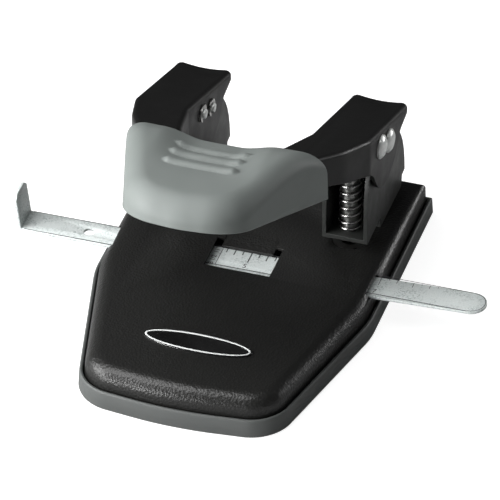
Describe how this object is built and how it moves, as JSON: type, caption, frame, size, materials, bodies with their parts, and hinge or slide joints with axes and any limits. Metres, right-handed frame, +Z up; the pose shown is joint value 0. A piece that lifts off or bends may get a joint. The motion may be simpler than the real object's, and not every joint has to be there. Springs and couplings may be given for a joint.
{
  "type": "paper hole punch",
  "caption": "Heavy-duty desk paper punch with two sprung punch heads on a wide lever, a sliding paper scale and a snap-off chip tray.",
  "frame": {"origin": "on the resting plane, midway between the two punch axes", "axes": "+X to the right along the line of punches, +Y to the rear where the lever pivots, -Y towards the grip, +Z up"},
  "size_m": [0.1845, 0.1545, 0.1024],
  "materials": {
    "tray_plastic": "fine moulded grain",
    "cover_black": "wrinkled powder coat",
    "plate_steel": "zinc plated",
    "tool_steel": "ground and hardened",
    "bracket_dark": "dark satin coat on steel",
    "rivet_steel": "zinc plated",
    "pin_steel": "bright nickel plate",
    "clip_steel": "spring steel",
    "lever_black": "semi-gloss black paint",
    "grip_grey": "smooth satin",
    "spring_wire": "bright drawn wire",
    "scale_zinc": "zinc plated, printed marks",
    "badge_black": "gloss with a pale rim"
  },
  "bodies": {
    "base": {"base_cover": "cover_black", "die_plate": "plate_steel", "left_die": "tool_steel", "right_die": "tool_steel", "left_bracket": "bracket_dark", "right_bracket": "bracket_dark", "bracket_rivets": "rivet_steel", "left_pivot_pin": "pin_steel", "right_pivot_pin": "pin_steel", "pivot_pin_clips": "clip_steel", "left_spring": "spring_wire", "right_spring": "spring_wire", "guide_rail": "plate_steel", "badge_plate": "badge_black"},
    "lever": {"lever": "lever_black", "handle_grip": "grip_grey", "left_drive_pin": "pin_steel", "right_drive_pin": "pin_steel", "drive_pin_clips": "clip_steel"},
    "left_punch": {"left_punch": "tool_steel", "left_spring_clip": "clip_steel"},
    "right_punch": {"right_punch": "tool_steel", "right_spring_clip": "clip_steel"},
    "paper_guide": {"paper_guide": "scale_zinc"},
    "chip_tray": {"chip_tray": "tray_plastic"}
  },
  "joints": [
    {"name": "lever_pivot", "type": "hinge", "parent": "base", "child": "lever", "pos_m": [0, 0.0113, 0.0562], "axis": [1, 0, 0], "range_deg": [0, 30], "stiffness_Nm_per_rad": 0.55, "springref_deg": -30.37},
    {"name": "left_punch_slide", "type": "slide", "parent": "base", "child": "left_punch", "axis": [0, 0, -1], "range_m": [0, 0.0059], "deforming": ["left_spring"]},
    {"name": "right_punch_slide", "type": "slide", "parent": "base", "child": "right_punch", "axis": [0, 0, -1], "range_m": [0, 0.0059], "deforming": ["right_spring"]},
    {"name": "paper_guide_slide", "type": "slide", "parent": "base", "child": "paper_guide", "axis": [1, 0, 0], "range_m": [-0.0215, 0.03]},
    {"name": "chip_tray_slide", "type": "slide", "parent": "base", "child": "chip_tray", "axis": [0, 0, -1], "range_m": [0, 0.025]}
  ],
  "couplings": [
    {"joint": "left_punch_slide", "follows": "lever_pivot", "m_per_rad": 0.01106},
    {"joint": "right_punch_slide", "follows": "lever_pivot", "m_per_rad": 0.01106}
  ]
}
